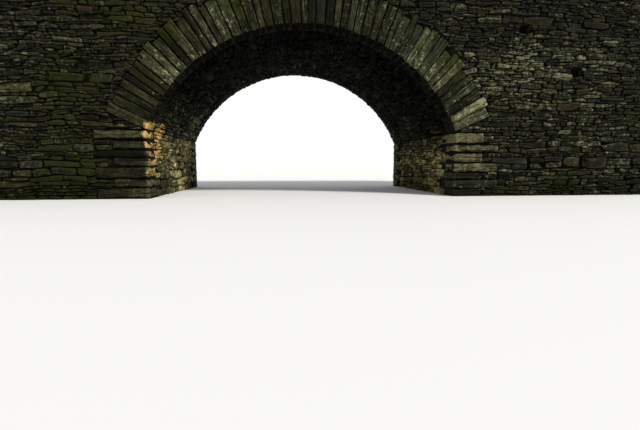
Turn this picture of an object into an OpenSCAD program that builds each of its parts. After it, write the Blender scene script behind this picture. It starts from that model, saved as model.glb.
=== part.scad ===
// Stone arch bridge: one segmental arch of slate slabs between rubble abutments.
// X runs along the road, Y across it from the front face to the back face, Z up.
// The origin is under the middle of the arch, on the level that the masonry stands on.
// The back face is the front face turned half a turn about Z.

/* [Arch] */
// Clear span between the two abutment faces
span = 6000; // [5200:50:7000]
// Height of the springing above the base
springing_h = 1300; // [900:10:2000]
// Rise of the soffit from the springing to the crown
rise = 1970; // [1600:10:2400]
// Mean depth of the ring slabs, from the soffit outwards
ring_depth = 780; // [650:10:900]
// Mean thickness of a ring slab at the soffit
slab_t = 145; // [110:5:220]
// How far a long ring slab reaches past the mean depth
slab_reach = 75; // [0:5:90]
// Most that the slabs of the right haunch lean upright from their radial lines, in degrees
slab_lean = 6; // [0:0.5:8]
// Depth of the barrel masonry between the two face rings
barrel_depth = 600; // [400:10:650]

/* [Body] */
// Width of the bridge over its two faces
bridge_w = 4250; // [3200:50:6000]
// Length of the bridge over its two ends
bridge_l = 15000; // [12500:100:18000]
// Thickness of the face walls and parapets
wall_t = 420; // [300:10:600]
// Length of each abutment along the road
abutment_l = 1500; // [1200:50:1900]
// Masonry and fill between the crown of the ring and the road
cover = 400; // [250:10:800]
// Thickness of the road's stone surface
road_t = 150; // [80:10:220]
// Fall of the road from the crown to each end
road_fall = 400; // [0:20:700]

/* [Parapets] */
// Height of the parapet above the road
parapet_h = 850; // [600:10:1100]
// Height of a tall coping stone
coping_h = 250; // [160:10:350]
// How much lower the low coping stones are
coping_drop = 70; // [0:5:120]
// Width of the coping across the wall
coping_w = 470; // [430:10:650]
// Mean thickness of a coping stone along the wall
coping_t = 200; // [140:10:300]
// Most that one side of a coping stone's top lies lower than the other
coping_slope = 9; // [0:1:20]

/* [Corner stones] */
// Courses of corner stones in an abutment
quoin_courses = 7; // [5:1:9]
// Length of a long corner stone on the face
quoin_long = 950; // [700:10:1100]
// Length of a short corner stone on the face
quoin_short = 620; // [400:10:690]
// Length of a long return under the arch
return_long = 700; // [520:10:900]
// Length of a short return under the arch
return_short = 430; // [300:10:510]

/* [Stonework] */
// Open joint between neighbouring stones
joint = 10; // [4:1:20]
// Most that a stone stands proud of the wall
proud = 20; // [0:1:25]
// Share of the mean by which a stone's thickness varies, each way
spread = 0.27; // [0:0.01:0.3]

/* [Holes in the front wall] */
// Width of a hole left by a missing stone
hole_w = 170; // [80:5:200]
// Height of a hole left by a missing stone
hole_h = 120; // [60:5:160]
// Depth of a hole left by a missing stone
hole_depth = 260; // [100:10:290]
// Distance of the inner hole from the middle of the arch
inner_hole_x = 4365; // [4000:5:4700]
// Height of the inner hole above the base
inner_hole_z = 3340; // [2900:10:3700]
// Distance of the outer hole from the middle of the arch
outer_hole_x = 5560; // [5000:5:6200]
// Height of the outer hole above the base
outer_hole_z = 2530; // [1800:10:3500]

/* [Hidden] */

arc_fn = 240;
front_y = -bridge_w / 2;
inner_y = front_y + wall_t;
half_l = bridge_l / 2;

// Circle of the soffit, through both springings and the crown
soffit_r = (span * span / 4 + rise * rise) / (2 * rise);
centre_z = springing_h + rise - soffit_r;
spring_a = asin((springing_h - centre_z) / soffit_r);
haunch_a = spring_a + (180 - 2 * spring_a) / 3;

// Skewback: the sloping bed that each end of the arch stands on
bed_z = centre_z + (soffit_r + ring_depth) * sin(spring_a);
bed_x = (soffit_r + ring_depth) * cos(spring_a);
abutment_x = span / 2 + abutment_l;

// Road line: a shallow hump drawn as straight bays
crown_road_z = springing_h + rise + ring_depth + cover;
bays = 20;
bay = bridge_l / bays;
bay_x = [for (k = [0 : bays]) -half_l + k * bay];
bay_z = [for (x = bay_x) crown_road_z - road_fall * pow(x / half_l, 2)];

// Stone sizes are scattered by a fixed rule, so each build gives the same stones.
// scatter gives a number from 0 to 1 for stone i of sort k, and vary one from -1 to 1.
function scatter(i, k) = let (s = sin(i * 127.1 + k * 311.7) * 4375.85) s - floor(s);
function vary(i, k) = 2 * scatter(i, k) - 1;
function running(v) = [for (i = 0, s = 0; i <= len(v); s = s + (i < len(v) ? v[i] : 0), i = i + 1) s];
function shares(weights) = let (s = running(weights)) [for (x = s) x / s[len(s) - 1]];
function stone_shares(n, k) = shares([for (i = [0 : n - 1]) 1 + spread * vary(i, k)]);
function reversed(v) = [for (i = [len(v) - 1 : -1 : 0]) v[i]];

function on_arc(r, a) = [r * cos(a), centre_z + r * sin(a)];
function road_z(x) = lookup(x, [for (k = [0 : bays]) [bay_x[k], bay_z[k]]]);

// The road line from x0 to x1, lifted by up
function road_line(x0, x1, up) = concat(
    [[x0, road_z(x0) + up]],
    [for (k = [0 : bays]) if (bay_x[k] > x0 + joint && bay_x[k] < x1 - joint) [bay_x[k], bay_z[k] + up]],
    [[x1, road_z(x1) + up]]
);

// Ring slabs: their radial joints, and how far each reaches outwards
slab_n = round(soffit_r * (180 - 2 * spring_a) * PI / 180 / slab_t);
slab_a = [for (s = stone_shares(slab_n, 1)) spring_a + (180 - 2 * spring_a) * s];
slab_l = [for (i = [0 : slab_n - 1]) ring_depth + (i == 0 || i == slab_n - 1 ? 0 : slab_reach * vary(i, 2))];

// Lean of the joint at angle a: none at the springing, at the crown and on the left
function lean(a) = a < 90 ? slab_lean * sin(180 * (a - spring_a) / (90 - spring_a)) : 0;

// Outer corner of slab i on the joint at angle a
function slab_corner(i, a) = on_arc(soffit_r, a)
    + slab_l[i] / cos((slab_a[i + 1] - slab_a[i]) / 2) * [cos(a + lean(a)), sin(a + lean(a))];

// The point p moved by d towards q
function toward(p, q, d) = p + (q - p) * d / norm(q - p);

// One slab as seen on the face, drawn in by half a joint on each side
function slab_outline(i) = let (
    foot_a = on_arc(soffit_r, slab_a[i]),
    tip_a = slab_corner(i, slab_a[i]),
    tip_b = slab_corner(i, slab_a[i + 1]),
    foot_b = on_arc(soffit_r, slab_a[i + 1])
) [
    toward(foot_a, foot_b, joint / 2), toward(tip_a, tip_b, joint / 2),
    toward(tip_b, tip_a, joint / 2), toward(foot_b, foot_a, joint / 2)
];

// Everything inside the stepped outer edge of the ring
ring_outline = concat(
    [[-bed_x, 0], [bed_x, 0]],
    [for (i = [0 : slab_n - 1]) for (a = [slab_a[i], slab_a[i + 1]]) slab_corner(i, a)]
);

// Corner stones: bed heights of one stack, for one of two patterns
function quoin_beds(pattern) = springing_h * stone_shares(quoin_courses, 3 + pattern);

// Puts an outline drawn in X and Z between y0 and y1
module upright(y0, y1) {
    translate([0, y1, 0]) rotate([90, 0, 0]) linear_extrude(y1 - y0) children();
}

// The same piece on the opposite face and the opposite bank
module turned() {
    rotate([0, 0, 180]) children();
}

// Band of the front elevation between x0 and x1, from z0 up to the road line lifted by up
module elevation_band(x0, x1, z0, up) {
    polygon(concat([[x0, z0], [x1, z0]], reversed(road_line(x0, x1, up))));
}

// Elevation over the right half of the arch, from its springing and skewback up to the road line
module right_arch_zone(up) {
    polygon(concat(
        [[0, springing_h], [span / 2, springing_h], [bed_x, bed_z], [abutment_x, bed_z]],
        reversed(road_line(0, abutment_x, up))
    ));
}

module wall_holes() {
    for (p = [[inner_hole_x, inner_hole_z], [outer_hole_x, outer_hole_z]])
        translate([p[0] - hole_w / 2, front_y - joint, p[1] - hole_h / 2])
            cube([hole_w, hole_depth + joint, hole_h]);
}

// Corner stones at the front left corner. A closed stack leaves out the joints.
module quoin_stack(pattern, gap, stand_out) {
    beds = quoin_beds(pattern);
    for (i = [0 : quoin_courses - 1]) {
        long = i % 2 == pattern;
        face_l = long ? quoin_long : quoin_short;
        return_l = long ? return_short : return_long;
        low = beds[i] + (i > 0 ? gap / 2 : 0);
        out = stand_out * scatter(i, 6 + pattern);
        translate([-span / 2 - face_l, front_y - out, low])
            cube([face_l, return_l + out, beds[i + 1] - gap / 2 - low]);
    }
}

module front_left_quoins() {
    color("#5d5a4b") quoin_stack(0, joint, proud);
}

module front_right_quoins() {
    color("#5d5a4b") mirror([1, 0, 0]) quoin_stack(1, joint, proud);
}

module left_abutment() {
    color("#4b4a42") difference() {
        upright(front_y, -front_y)
            polygon([
                [-abutment_x, 0], [-span / 2, 0], [-span / 2, springing_h],
                [-bed_x, bed_z], [-abutment_x, bed_z]
            ]);
        quoin_stack(0, 0, proud);
        turned() mirror([1, 0, 0]) quoin_stack(1, 0, proud);
    }
}

// Face ring: slate slabs on edge, each standing a little proud or back
module front_arch_ring() {
    color("#66675a") for (i = [0 : slab_n - 1])
        upright(front_y - proud * scatter(i, 5), inner_y) polygon(slab_outline(i));
}

// Part of the barrel between two angles
module barrel_part(a0, a1) {
    color("#3a3a38") rotate([90, 0, 0]) translate([0, centre_z, 0]) rotate([0, 0, a0])
        rotate_extrude(angle = a1 - a0, $fn = arc_fn)
            translate([soffit_r, inner_y]) square([barrel_depth, -2 * inner_y]);
}

// Rubble wall beside and over the ring on the front face
module front_right_spandrel() {
    color("#55534a") difference() {
        upright(front_y, inner_y) difference() {
            right_arch_zone(0);
            polygon(ring_outline);
        }
        wall_holes();
    }
}

module front_left_spandrel() {
    color("#55534a") upright(front_y, inner_y) difference() {
        mirror([1, 0]) right_arch_zone(0);
        polygon(ring_outline);
    }
}

module front_left_wing_wall() {
    color("#504f46") upright(front_y, inner_y) elevation_band(-half_l, -abutment_x, 0, 0);
}

module front_right_wing_wall() {
    color("#504f46") difference() {
        upright(front_y, inner_y) elevation_band(abutment_x, half_l, 0, 0);
        wall_holes();
    }
}

// Rubble and earth over the haunch, between the two face walls
module right_haunch_fill() {
    color("#6b5f4c") upright(inner_y, -inner_y) difference() {
        right_arch_zone(-road_t);
        translate([0, centre_z]) circle(soffit_r + barrel_depth, $fn = arc_fn);
    }
}

module right_approach_fill() {
    color("#6b5f4c") upright(inner_y, -inner_y) elevation_band(abutment_x, half_l, 0, -road_t);
}

module roadway() {
    color("#7d7a70") upright(inner_y, -inner_y)
        polygon(concat(road_line(-half_l, half_l, -road_t), reversed(road_line(-half_l, half_l, 0))));
}

module front_parapet(x0, x1) {
    color("#55534a") upright(front_y, inner_y)
        polygon(concat(road_line(x0, x1, 0), reversed(road_line(x0, x1, parapet_h))));
}

// Coping stones on edge over bay k, low and tall in turn
module coping_bay(k) {
    n = max(2, round(bay / coping_t));
    cuts = bay * stone_shares(n, 12 + k);
    for (j = [0 : n - 1]) {
        stone = j + n * k;
        x0 = bay_x[k] + cuts[j] + joint / 2;
        x1 = bay_x[k] + cuts[j + 1] - joint / 2;
        z0 = road_z(x0) + parapet_h;
        z1 = road_z(x1) + parapet_h;
        h = coping_h - (stone % 2) * coping_drop * (1 - scatter(stone, 9) / 2);
        slope = coping_slope * vary(stone, 10);
        upright(front_y + wall_t / 2 - coping_w / 2, front_y + wall_t / 2 + coping_w / 2)
            polygon([[x0, z0], [x1, z1], [x1, z1 + h - max(0, slope)], [x0, z0 + h + min(0, slope)]]);
    }
}

module front_coping(first, last) {
    color("#62625a") for (k = [first : last]) coping_bay(k);
}

left_abutment();
turned() left_abutment();  // right_abutment
front_left_quoins();
front_right_quoins();
turned() front_right_quoins();  // back_left_quoins
turned() front_left_quoins();  // back_right_quoins
front_arch_ring();
turned() front_arch_ring();  // back_arch_ring
barrel_part(180 - haunch_a, 180 - spring_a);  // barrel_left_haunch
barrel_part(haunch_a, 180 - haunch_a);  // barrel_crown
barrel_part(spring_a, haunch_a);  // barrel_right_haunch
front_left_spandrel();
front_right_spandrel();
turned() front_right_spandrel();  // back_left_spandrel
turned() front_left_spandrel();  // back_right_spandrel
front_left_wing_wall();
front_right_wing_wall();
turned() front_right_wing_wall();  // back_left_wing_wall
turned() front_left_wing_wall();  // back_right_wing_wall
mirror([1, 0, 0]) right_haunch_fill();  // left_haunch_fill
right_haunch_fill();
mirror([1, 0, 0]) right_approach_fill();  // left_approach_fill
right_approach_fill();
roadway();
front_parapet(-half_l, 0);  // front_left_parapet
front_parapet(0, half_l);  // front_right_parapet
turned() front_parapet(0, half_l);  // back_left_parapet
turned() front_parapet(-half_l, 0);  // back_right_parapet
front_coping(0, bays / 2 - 1);  // front_left_coping
front_coping(bays / 2, bays - 1);  // front_right_coping
turned() front_coping(bays / 2, bays - 1);  // back_left_coping
turned() front_coping(0, bays / 2 - 1);  // back_right_coping
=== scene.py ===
"""Dresses the stone arch bridge: split slate ring, corner stones, coping, rubble walls and a stony road."""

import itertools
import math
import typing

import bpy
import numpy as np
from bpy.props import FloatProperty, FloatVectorProperty, IntProperty, PointerProperty
from mathutils import Matrix, Vector


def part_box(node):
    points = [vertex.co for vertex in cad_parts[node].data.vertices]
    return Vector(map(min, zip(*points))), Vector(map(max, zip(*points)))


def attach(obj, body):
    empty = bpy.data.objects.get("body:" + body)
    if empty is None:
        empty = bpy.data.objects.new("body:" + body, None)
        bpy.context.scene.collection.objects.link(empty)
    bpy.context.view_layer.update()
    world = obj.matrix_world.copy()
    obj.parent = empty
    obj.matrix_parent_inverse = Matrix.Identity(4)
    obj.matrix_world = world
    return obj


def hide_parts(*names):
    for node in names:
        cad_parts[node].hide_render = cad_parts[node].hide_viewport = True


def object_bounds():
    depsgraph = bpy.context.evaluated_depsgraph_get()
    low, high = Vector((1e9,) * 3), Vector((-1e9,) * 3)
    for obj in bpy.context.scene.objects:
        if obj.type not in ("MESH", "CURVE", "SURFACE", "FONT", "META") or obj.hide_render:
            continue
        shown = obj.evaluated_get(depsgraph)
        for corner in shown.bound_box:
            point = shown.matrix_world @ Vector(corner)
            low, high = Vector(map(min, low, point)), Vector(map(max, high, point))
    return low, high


bl_info = {
    "name": "Slate arch bridge",
    "version": (1, 0, 0),
    "blender": (4, 5, 0),
    "location": "3D View > Sidebar > Bridge",
    "description": "Builds the stonework and finishes of a slate arch bridge over its packed solids",
    "category": "Object",
}

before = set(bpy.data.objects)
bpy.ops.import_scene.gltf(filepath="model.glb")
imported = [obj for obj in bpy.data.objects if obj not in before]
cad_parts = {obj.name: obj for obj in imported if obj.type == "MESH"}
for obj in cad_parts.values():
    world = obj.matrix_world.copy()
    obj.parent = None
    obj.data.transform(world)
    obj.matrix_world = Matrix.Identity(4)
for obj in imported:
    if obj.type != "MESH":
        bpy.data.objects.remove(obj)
CAD_BOX = [list(corner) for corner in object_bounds()]

# Faces and sides of the bridge: 1 is the front or the right, and -1 is the back or the left
FACES = (("front", 1), ("back", -1))
SIDES = (("left", -1), ("right", 1))

# Corners of a square, anticlockwise, and an empty list of faces
SQUARE = np.array([[0, 0], [1, 0], [1, 1], [0, 1]])
NO_FACES = np.empty((0, 4), int)


def node_points(node):
    """The corners of a node's triangles, as rows of three points, in metres."""
    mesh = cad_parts[node].data
    points = np.empty(len(mesh.vertices) * 3)
    mesh.vertices.foreach_get("co", points)
    index = np.empty(len(mesh.loops), dtype=np.int64)
    mesh.loops.foreach_get("vertex_index", index)
    return points.reshape(-1, 3)[index].reshape(-1, 3, 3)


# Sizes of the masonry, in metres, read from the frame
FACE_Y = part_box("front_left_wing_wall")[0].y
INNER_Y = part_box("front_left_wing_wall")[1].y
HALF_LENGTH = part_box("front_right_wing_wall")[1].x
HALF_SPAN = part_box("right_abutment")[0].x
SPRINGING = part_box("barrel_right_haunch")[0].z
ROAD_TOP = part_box("roadway")[1].z
ROAD_END_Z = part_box("roadway")[0].z
PARAPET_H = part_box("front_left_parapet")[1].z - ROAD_TOP

# Rise of the soffit over its springing, and the soffit's circle
RISE = 1.97
SOFFIT_R = (HALF_SPAN ** 2 + RISE ** 2) / (2 * RISE)
CENTRE_Z = SPRINGING + RISE - SOFFIT_R
SPRING_ANGLE = math.asin((SPRINGING - CENTRE_Z) / SOFFIT_R)

# Holes left by missing stones, on the right of each face as one looks at it: middle, width and height
HOLES = ((4.365, 3.34), (5.56, 2.53))
HOLE_SIZE = (0.17, 0.12)
# How far each side of a hole is moved out between the stones, and in the core of the front's walls
HOLE_FLARE = 0.03
# Depth of the joints between slabs and corner stones under the arch, and on the face at the back
SOFFIT_JOINT = 0.015
BACK_JOINT = 0.03
# Depth of those joints on the front face, and at the sides of the corner stones, as a multiple of the recess
DEEPER = 1.5

# How far the corner stones stand out over the walls' plane
PROUD = FACE_Y - CAD_BOX[0][1]


def road_line():
    """Places along the bridge where the roadway has corners, and the height of the highest corner at each."""
    points = node_points("roadway").reshape(-1, 3)
    along, place = np.unique(np.round(points[:, 0], 3), return_inverse=True)
    height = np.full(len(along), -np.inf)
    np.maximum.at(height, place, points[:, 2])
    return along, height


ROAD_X, ROAD_Z = road_line()


def road_z(x):
    """Height of the road at x, on straight lines between its corners."""
    return np.interp(x, ROAD_X, ROAD_Z)


def linear(hex_colour):
    """A #rrggbb colour as the four linear numbers that Blender's sockets take."""
    share = [int(hex_colour[i:i + 2], 16) / 255 for i in (1, 3, 5)]
    return [c / 12.92 if c <= 0.04045 else ((c + 0.055) / 1.055) ** 2.4 for c in share] + [1.0]


# Settings

def metres(name, description, default):
    """A length that a user can change."""
    return FloatProperty(name=name, description=description, default=default, unit="LENGTH")


def degrees(name, description, default):
    """An angle that a user can change."""
    return FloatProperty(name=name, description=description, default=math.radians(default), subtype="ANGLE")


def swatch(name, description, hex_colour):
    """A colour that a user can change."""
    return FloatVectorProperty(
        name=name, description=description, subtype="COLOR", size=4, default=linear(hex_colour))


class StoneworkSizes(bpy.types.PropertyGroup):
    """Sizes of the rubble stones and their joints"""
    joint: metres("Joint", "Gap between neighbouring rubble stones", 0.01)
    recess: metres("Recess", "How far the joints lie behind the face", 0.05)
    bevel: metres("Broken edge", "Width of a rubble stone's worn edge", 0.01)
    unevenness: metres("Unevenness", "Most that a rubble face lies before or behind the wall's plane", 0.022)
    wander: metres("Wander", "How far the beds stray from level", 0.03)
    seed: IntProperty(name="Seed", description="Number that sets how the stones are scattered", default=7)


class StoneColours(bpy.types.PropertyGroup):
    """Colours of the stones, the joints, what grows on them, and a painted patch of sunlight"""
    dark: swatch("Dark slate", "Darkest stones", "#12130e")
    middle: swatch("Slate", "Most stones", "#35362b")
    pale: swatch("Pale slate", "Palest stones", "#7a7964")
    warm: swatch("Rusty slate", "Iron stain", "#4d412b")
    cool: swatch("Blue slate", "Freshly split slate", "#393e3b")
    lichen: swatch("Lichen", "Crusts of lichen", "#92937a")
    algae: swatch("Algae", "Green bloom on damp stone", "#363b19")
    joint: swatch("Joint", "Earth and old lime in the joints", "#0e0d0a")
    # The next two are painted sunlight on the left corner under the arch: yellow above, buff lower down
    painted_sunlight: swatch("Ochre", "Yellow crust on the left corner under the arch", "#d6aa50")
    painted_sunlight_low: swatch("Buff", "Paler crust lower on the same corner", "#c09d62")
    road: swatch("Road", "Broken stone of the road", "#6f6b5c")


class ViewSettings(bpy.types.PropertyGroup):
    """Place and angle of the camera"""
    place: FloatVectorProperty(
        name="Camera", description="Place of the camera", subtype="TRANSLATION", unit="LENGTH",
        default=(-0.534, FACE_Y - 7.502, CENTRE_Z + 0.622))
    pitch: degrees("Pitch", "Angle of the view above level", -7.36)
    yaw: degrees("Yaw", "Angle of the view to the right", 5.95)
    focal_px: FloatProperty(
        name="Focal length", description="Focal length in pixels of a 640 pixel wide picture", default=380.0)


# Numbers on arrays

def ripple(points, wavelength, seed, count=9):
    """Smooth noise: a third of the sum of sines of points along scattered directions, cut to -1 to 1."""
    rng = np.random.default_rng(seed)
    waves = rng.normal(size=(count, points.shape[-1]))
    pace = 2 * math.pi / wavelength * rng.uniform(0.5, 1.5, (count, 1))
    waves *= pace / np.linalg.norm(waves, axis=1, keepdims=True)
    return np.clip(np.sin(points @ waves.T + rng.uniform(0, 2 * math.pi, count)).sum(-1) / 3, -1, 1)


def smooth_step(low, high, x):
    """0 at low and before it, 1 at high and beyond it, and 3 t t - 2 t t t at the share t of the way."""
    t = np.clip((x - low) / (high - low), 0, 1)
    return t * t * (3 - 2 * t)


def between(a, b, share):
    """The sum of a and b, weighted so that a share of 0 gives a and 1 gives b."""
    return a * (1 - share) + b * share


def outline(along, up):
    """An anticlockwise outline of a rectangle with cut corners. Each point is a share of half the width and
    height, and a number of corner radii by which it is drawn in."""
    bottom = np.stack([np.linspace(-1, 1, along), -np.ones(along)], 1)
    right = np.stack([np.ones(up), np.linspace(-1, 1, up)], 1)
    top, left = bottom * (1, -1), right * (-1, 1)
    level, upright = np.zeros((along, 2)), np.zeros((up, 2))
    level[[0, -1], 0] = 1, -1
    upright[[0, -1], 1] = 1, -1
    return (np.concatenate([bottom, right, top[::-1], left[::-1]]),
            np.concatenate([level, upright, level[::-1], upright[::-1]]))


def ring_faces(count, rings, around):
    """Faces of closed shapes: each is a stack of rings of points, with a pole under it and one over it."""
    size = rings * around + 2
    base = np.arange(count)[:, None, None] * size
    low = base + np.arange(rings - 1)[None, :, None] * around
    k = np.arange(around)[None, None, :]
    turn = (k + 1) % around
    quads = np.stack([low + k, low + turn, low + around + turn, low + around + k], -1)
    base, k, turn = base[:, 0], k[0], turn[0]
    last = base + (rings - 1) * around
    bottom = np.stack(np.broadcast_arrays(base + size - 2, base + turn, base + k), -1)
    top = np.stack(np.broadcast_arrays(base + size - 1, last + k, last + turn), -1)
    return quads.reshape(-1, 4), np.concatenate([bottom.reshape(-1, 3), top.reshape(-1, 3)])


def with_poles(rings):
    """Values at the points of closed shapes, a row for each: its rings' own, then the means of the first ring
    and of the last."""
    poles = np.stack([rings[:, 0].mean(1), rings[:, -1].mean(1)], 1)
    return np.concatenate([rings.reshape(len(rings), -1, *rings.shape[3:]), poles], 1)


def mesh_object(name, points, quads, triangles, grain=None, **values):
    """A mesh object from arrays, with grain as its UV map, and each named value as an attribute."""
    mesh = bpy.data.meshes.new(name)
    corners = np.concatenate([quads.ravel(), triangles.ravel()]).astype(np.int32)
    starts = np.concatenate([np.arange(len(quads)) * 4, len(quads) * 4 + np.arange(len(triangles)) * 3])
    points = np.reshape(points, (-1, 3)).astype(np.float32)
    mesh.vertices.add(len(points))
    mesh.vertices.foreach_set("co", points.ravel())
    mesh.loops.add(len(corners))
    mesh.loops.foreach_set("vertex_index", corners)
    mesh.polygons.add(len(starts))
    mesh.polygons.foreach_set("loop_start", starts.astype(np.int32))
    mesh.update(calc_edges=True)
    if grain is not None:
        layer = mesh.uv_layers.new(name="Grain")
        layer.data.foreach_set("uv", grain.reshape(-1, 2)[corners].astype(np.float32).ravel())
    for key, value in values.items():
        attribute = mesh.attributes.new(key, "FLOAT", "POINT")
        attribute.data.foreach_set("value", value.astype(np.float32).ravel())
    piece = bpy.data.objects.new(name, mesh)
    bpy.context.scene.collection.objects.link(piece)
    return piece


def keep(piece, slot, material, *nodes):
    """The piece rides on the bridge, stands for the nodes and takes the material."""
    piece.data.materials.append(material)
    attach(piece, "root")
    if nodes:
        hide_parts(*nodes)


def keep_packing(name, slot, rings):
    """Earth in the joints of dressed blocks, as one closed shape of rings of points."""
    keep(mesh_object(name, with_poles(rings[None]), *ring_faces(1, *rings.shape[:2])), slot, joint_earth())


# Dressed blocks: slabs, corner stones and coping

# Wavelengths of the wear on a block, in metres: hollows, roughness and chips
HOLLOWS = 0.42
ROUGHNESS = 0.09
CHIPS = 0.06

# How far the noise of hollows is shifted from one block to the next, in metres
DRIFT = np.array([3.1, 1.7, 2.3])


def node_blocks(node, sort_by):
    """Corners of a node's six-sided stones, indexed by stone and by low or high along the three directions
    that sort_by gives. Each stone is twelve triangles, one stone after another."""
    points = node_points(node).reshape(-1, 36, 3)
    place = sort_by(points)
    low, high = place.min(1, keepdims=True), place.max(1, keepdims=True)
    place = 2 * (place - low) / (high - low) - 1
    corners = np.empty((len(points), 2, 2, 2, 3))
    for side in itertools.product((0, 1), repeat=3):
        far = np.argmax(place @ (2 * np.array(side) - 1), axis=1)
        corners[(slice(None), *side)] = points[np.arange(len(points)), far]
    return corners


def by_ring(points):
    """Radius from the soffit's axis, angle round it, and place across the bridge."""
    x, height = points[..., 0], points[..., 2] - CENTRE_Z
    return np.stack([np.hypot(x, height), np.arctan2(height, x), points[..., 1]], -1)


def by_length(points):
    """Place along the bridge, height, and place across it."""
    return points[..., [0, 2, 1]]


def by_height(points):
    """Height, place along the bridge, and place across it."""
    return points[..., [2, 0, 1]]


def rough_blocks(corners, stations, around, bevel, relief, seed):
    """Worn blocks inside their corners. A rectangle with cut corners is carried along each block's first
    direction, and drawn in at both ends. Its sides and ends are then set back by up to relief, in metres
    along the three directions: by a share of the block's own, and by noise. Gives their points, faces, grain
    map, worn edges, and the ends that their first direction starts from."""
    count = len(corners)
    low, high = corners[:, 0].mean((1, 2)), corners[:, 1].mean((1, 2))
    length = np.linalg.norm(high - low, axis=1)[:, None, None]
    across, through = corners[:, :, 1] - corners[:, :, 0], corners[:, :, :, 1] - corners[:, :, :, 0]
    wide, deep = (np.linalg.norm(way, axis=-1).mean((1, 2))[:, None, None] / 2 for way in (across, through))
    axes = np.stack([high - low, across.mean((1, 2)), through.mean((1, 2))], 1)
    share, radii = outline(*around)
    if np.linalg.det(axes).mean() < 0:
        share, radii = share[::-1], radii[::-1]
    reach = np.concatenate([[0, 0], np.linspace(0, 1, stations), [1, 1]])[None, :, None]
    inset = np.concatenate([[4, 1], np.zeros(stations), [1, 4]])[None, :, None] * bevel
    t = (bevel + reach * (length - 2 * bevel)) / length
    t = np.where(inset > 0, np.round(reach), t) + 0 * wide
    p, q = (np.clip(share[:, i] * (1 - inset / half) + radii[:, i] * bevel / half, -1, 1) + 0 * t
            for i, half in enumerate((wide, deep)))

    def place(t, p, q):
        """Points inside the blocks: t goes from 0 to 1 along the first direction, p and q from -1 to 1."""
        t, p, q = t[..., None], (p[..., None] + 1) / 2, (q[..., None] + 1) / 2
        c = corners[:, :, :, :, None, None]
        ends = (between(between(c[:, i, 0, 0], c[:, i, 1, 0], p), between(c[:, i, 0, 1], c[:, i, 1, 1], p), q)
                for i in (0, 1))
        return between(*ends, t)

    first = place(t, p, q)
    drift = np.arange(count)[:, None, None, None] * DRIFT
    rng = np.random.default_rng(seed)

    def worn(size, salt):
        """Shares of size: the sum of the block's own, hollows, roughness and chips, cut to 0 to 1."""
        coarse = ripple(first + drift, HOLLOWS, seed + salt)
        fine = ripple(first, ROUGHNESS, seed + salt + 1)
        chip = smooth_step(0.35, 0.9, ripple(first, CHIPS, seed + salt + 2))
        own = rng.uniform(0.1, 0.7, (count, 1, 1))
        return size * np.clip(own + 0.3 * coarse + 0.2 * fine + 0.35 * chip, 0, 1)

    t = t + (1 - 2 * t) * worn(relief[0], 0) / length
    p = p * (1 - worn(relief[1], 10) / wide)
    q = q * (1 - worn(relief[2], 20) / deep)
    points = place(t, p, q)
    grain = np.stack([t * length, p * wide], -1) + rng.uniform(0, 50, (count, 1, 1, 2))
    edge = np.where(inset > 0, 0.6, 0.15) + 0.6 * (np.abs(radii).sum(1) > 0)[None, None, :] + 0 * t
    edge = np.concatenate([edge.reshape(count, -1), np.zeros((count, 2))], 1)
    foot = 0 * t + (inset > 0) * (reach < 0.5)
    foot = np.concatenate([foot.reshape(count, -1), np.ones((count, 1)) * [1, 0]], 1)
    return with_poles(points), ring_faces(count, *points.shape[1:3]), with_poles(grain), edge, foot


def keep_blocks(name, node, sort_by, slot, paint, seed, stations, around, bevel, relief, shaded=False, **more):
    """One mesh of worn blocks in place of a node's, with painted shade on their first ends where asked. Each
    further value is a function of the points that adds to the attribute of that name."""
    corners = node_blocks(node, sort_by)
    points, faces, grain, edge, foot = rough_blocks(corners, stations, around, bevel, relief, seed)
    rng = np.random.default_rng(seed + 5)
    values = {
        "tone": rng.uniform(0.12, 0.85, (len(corners), 1)) + 0 * edge,
        "hue": rng.random((len(corners), 1)) + 0 * edge,
        "algae": 0.25 * ripple(points, 1.6, seed + 6),
        "edge": edge, "painted_shade": foot * painted_shade_under_arch(points) if shaded else 0 * foot, "crust": 0 * edge}
    for key, added in more.items():
        values[key] = values[key] + added(points)
    keep(mesh_object(name, points, *faces, grain=grain, **values), slot, paint, node)


def ochre_crust(points):
    """Painted patch of sunlight on the left corner under the arch, from 0 to 1: the product of smooth steps
    along the bridge, across it, up from the foot and down from the springing. Its limits stray by noise."""
    stray = ripple(points, 0.35, 61)
    x, y, z = np.moveaxis(points, -1, 0)
    arris = smooth_step(-HALF_SPAN - 0.1, -HALF_SPAN, x + 0.05 * stray) * (x < 0)
    inwards = FACE_Y + 0.45 + 0.45 * smooth_step(0.45, 1.0, z) + 0.15 * stray
    top = SPRINGING + 0.16 + 0.08 * stray
    return (arris * smooth_step(inwards + 0.25, inwards - 0.25, y) * smooth_step(-0.3, 1.0, z)
            * smooth_step(top + 0.08, top - 0.08, z))


def painted_shade_under_arch(points):
    """Painted shade under the arch, from 0 to 1: full at the front of the crown, and less towards the back
    and down to the springing, most of all on the left."""
    left = smooth_step(1.0, -1.0, points[..., 0])
    across = smooth_step(FACE_Y + 0.6, -FACE_Y, points[..., 1])
    foot = smooth_step(0.95, 0.15, points[..., 2] - SPRINGING)
    return np.clip(1 - 0.21 * across - foot * (0.25 + 0.5 * left) * (0.45 + 0.75 * across), 0, 1)


# Coursed rubble

class Laying(typing.NamedTuple):
    """How a wall is laid, in metres and shares: least and greatest height of a course, greatest mean length
    of a row's stones, least and greatest ratio of that length to the row's height, chances that a block of a
    course is one row at the wall's foot, or three at its top, and the least mean height of such rows."""
    low: float
    high: float
    longest: float
    squat: float
    slender: float
    single: float
    triple: float
    thinnest: float = 0.045


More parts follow.
